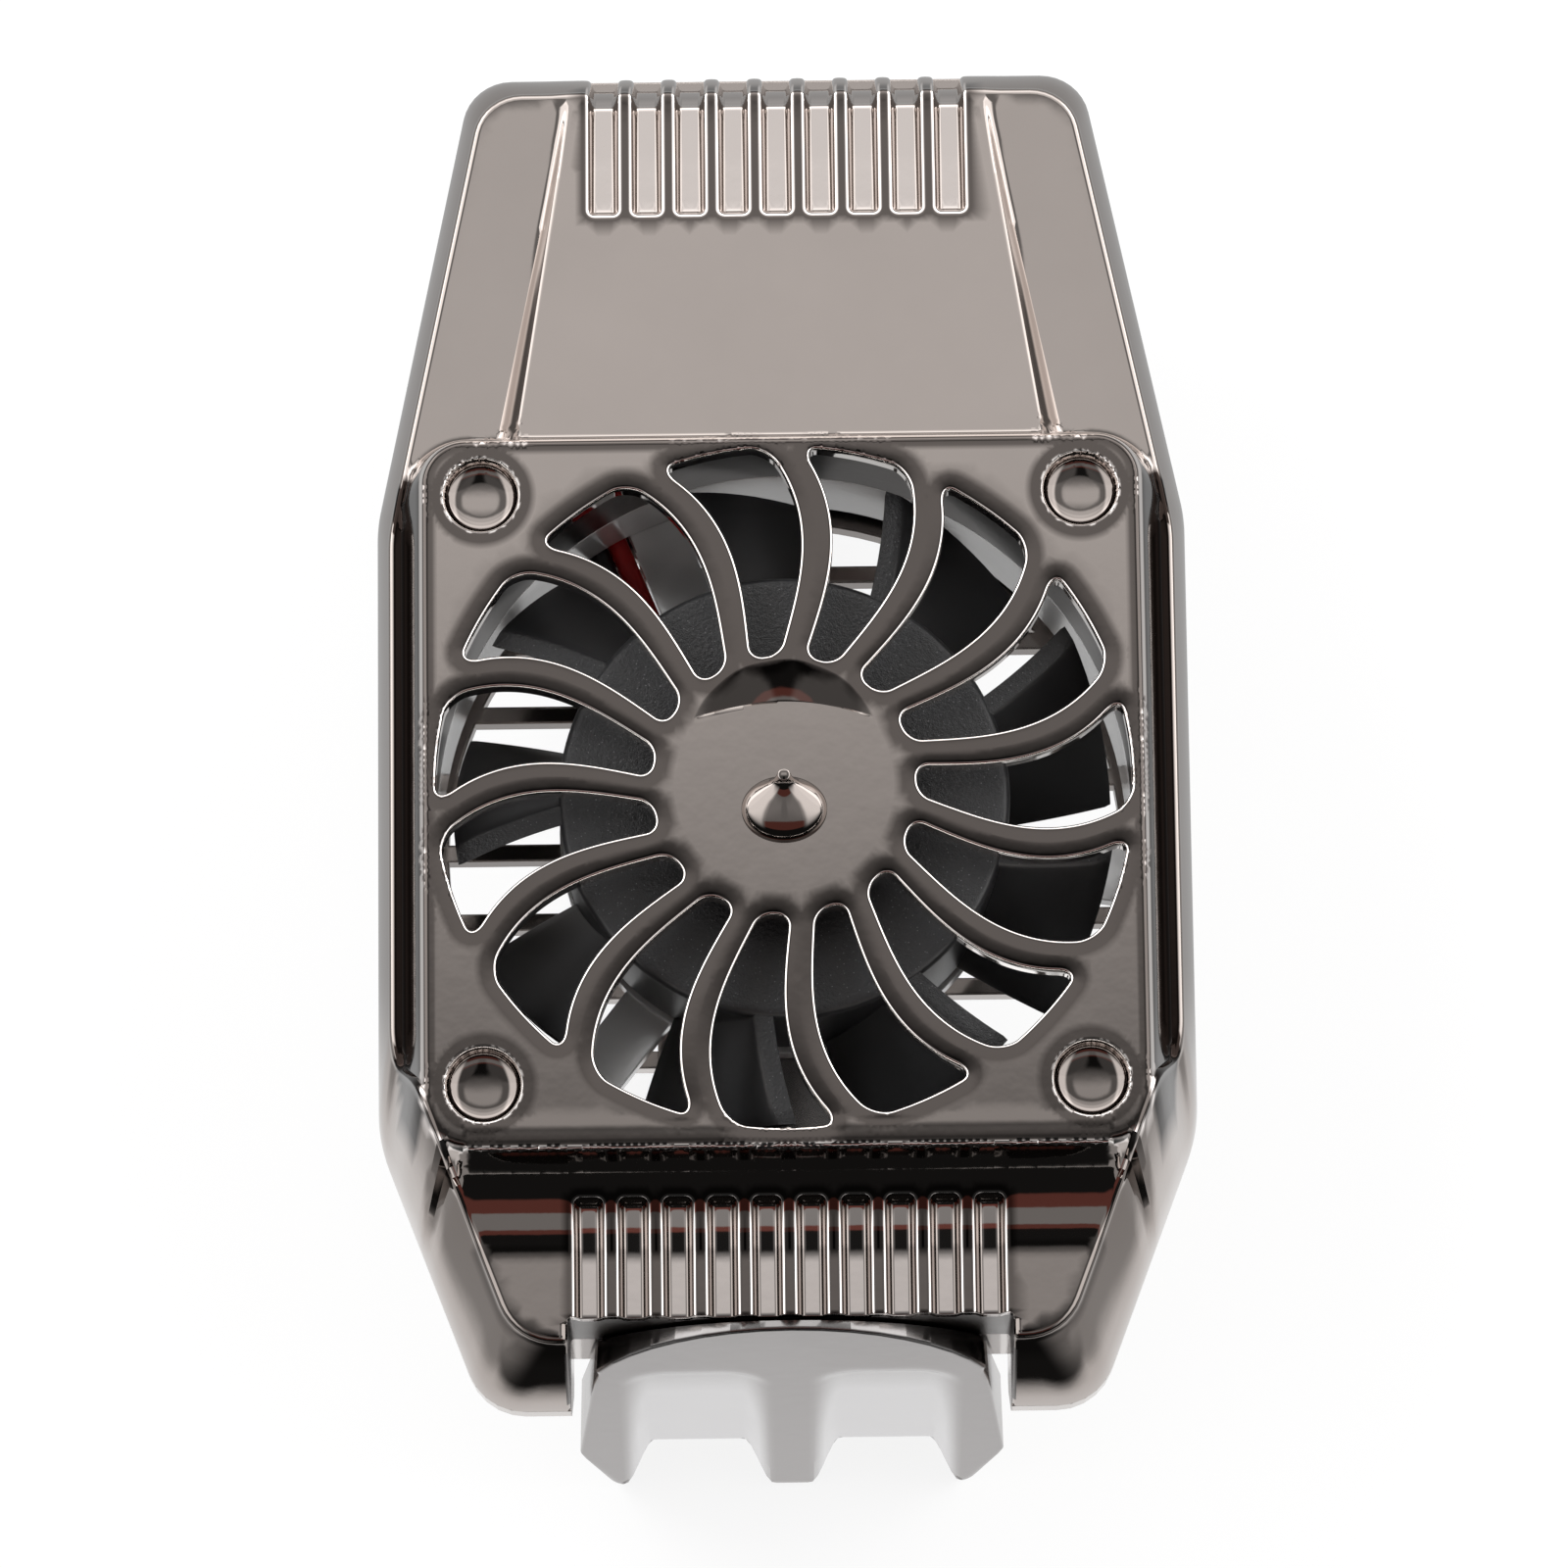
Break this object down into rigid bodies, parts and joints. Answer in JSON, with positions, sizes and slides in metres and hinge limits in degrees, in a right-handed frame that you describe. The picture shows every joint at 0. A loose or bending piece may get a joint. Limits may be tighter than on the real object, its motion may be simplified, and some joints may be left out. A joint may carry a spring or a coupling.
{
  "type": "clip-on phone cooling fan",
  "caption": "Clip-on phone cooling fan: plated two-shell body with a slotted grille round a small axial fan, a sprung sliding jaw and a fixed hook that grip a phone's long edges.",
  "frame": {"origin": "middle of the footprint, level with the tips of the claws", "axes": "+Z along the fan's axis from the phone towards the grille, +Y towards the fixed hook and the charging socket, +X to the right when the grille is looked at with the sliding jaw below"},
  "size_m": [0.044, 0.0764, 0.0323],
  "materials": {
    "gunmetal_plating": "polished dark nickel plating on moulded plastic",
    "silver_plating": "bright plating with fine tooling marks",
    "textured_black_plastic": "spark-eroded fine texture",
    "black_plastic": "plain moulded",
    "white_nylon": "natural nylon",
    "steel": "plain bright steel",
    "bonded_ferrite": "matt dark grey",
    "bronze": "sintered",
    "enamelled_copper": "wound enamelled wire",
    "green_board": "solder mask",
    "red_insulation": "soft insulation",
    "black_insulation": "soft insulation",
    "cell_foil": "laminated pouch foil",
    "black_rubber": "matt silicone",
    "dark_screws": "blackened steel"
  },
  "bodies": {
    "housing": {"front_cover": "gunmetal_plating", "rear_cover": "gunmetal_plating", "fan_frame": "silver_plating", "bearing_bush": "bronze", "bearing_cap": "black_plastic", "stator_core": "steel", "stator_insulators": "white_nylon", "coil_windings": "enamelled_copper", "motor_board": "green_board", "drive_chip": "black_plastic", "red_wire": "red_insulation", "black_wire": "black_insulation", "control_board": "green_board", "charging_socket": "steel", "power_switch": "black_plastic", "battery_cell": "cell_foil", "battery_leads": "red_insulation", "return_springs": "steel", "slide_retainer": "black_plastic", "fixed_hook": "gunmetal_plating", "hook_pad": "black_rubber", "phone_pads": "black_rubber", "case_screws": "dark_screws", "small_screws": "steel"},
    "rotor": {"fan_rotor": "textured_black_plastic", "rotor_yoke": "steel", "rotor_magnet": "bonded_ferrite", "fan_shaft": "steel", "retaining_ring": "steel"},
    "jaw": {"clip_jaw": "gunmetal_plating", "jaw_pad": "black_rubber"},
    "switch": {"switch_knob": "black_plastic"}
  },
  "joints": [
    {"name": "fan_spin", "type": "hinge", "parent": "housing", "child": "rotor", "pos_m": [0, -0.005, 0.022], "axis": [0, 0, 1], "continuous": true},
    {"name": "clip_slide", "type": "slide", "parent": "housing", "child": "jaw", "axis": [0, -1, 0], "range_m": [0, 0.016], "stiffness_N_per_m": 200, "springref_m": -0.01, "deforming": ["return_springs"]},
    {"name": "switch_slide", "type": "slide", "parent": "housing", "child": "switch", "axis": [1, 0, 0], "range_m": [0, 0.002]}
  ]
}
